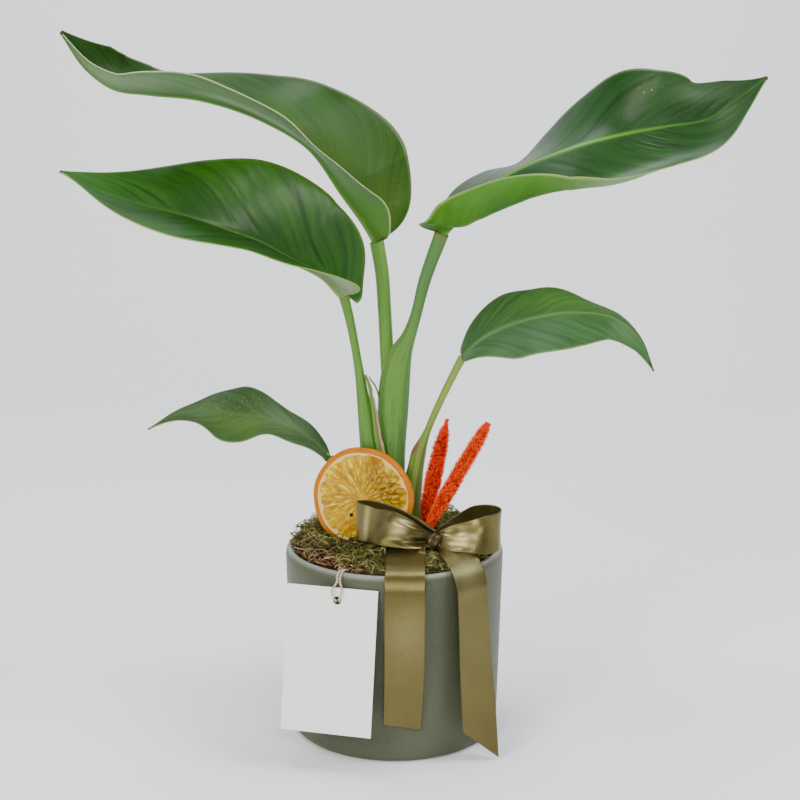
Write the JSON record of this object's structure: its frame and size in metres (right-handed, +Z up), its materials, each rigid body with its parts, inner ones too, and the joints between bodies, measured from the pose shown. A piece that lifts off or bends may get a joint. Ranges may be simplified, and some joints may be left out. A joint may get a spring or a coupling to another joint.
{
  "type": "potted bird of paradise plant",
  "caption": "Potted bird of paradise in a matte sage ceramic pot, dressed with moss, a dried orange slice, dyed flower spikes, an olive satin bow and a blank tag.",
  "frame": {"origin": "middle of the flat foot of the pot, where it rests", "axes": "+Z up along the pot's axis; -Y to the front, where the bow's tails and the tag hang; +X to the viewer's right"},
  "size_m": [0.4209, 0.1569, 0.4446],
  "materials": {
    "pot_glaze": "matte sage green glaze",
    "soil": "moist dark peat",
    "moss": "dried moss, rough",
    "leaf_stalk": "smooth, slightly waxy",
    "leaf_blade": "glossy green, paler below",
    "dried_orange": "dried rind and flesh",
    "red_bristle": "dyed dry bristles",
    "orange_bristle": "dyed dry bristles",
    "satin": "olive satin",
    "card": "bare white card",
    "twine": "pale jute"
  },
  "bodies": {
    "root": {"ceramic_pot": "pot_glaze", "potting_soil": "soil", "moss_cover": "moss", "leaf_upper_left_stalk": "leaf_stalk", "leaf_upper_left_blade": "leaf_blade", "leaf_upper_right_stalk": "leaf_stalk", "leaf_upper_right_blade": "leaf_blade", "leaf_left_stalk": "leaf_stalk", "leaf_left_blade": "leaf_blade", "leaf_right_stalk": "leaf_stalk", "leaf_right_blade": "leaf_blade", "leaf_lower_left_stalk": "leaf_stalk", "leaf_lower_left_blade": "leaf_blade", "orange_slice": "dried_orange", "spike_red": "red_bristle", "spike_orange": "orange_bristle", "satin_bow": "satin", "gift_tag": "card", "tag_twine": "twine"}
  },
  "joints": []
}
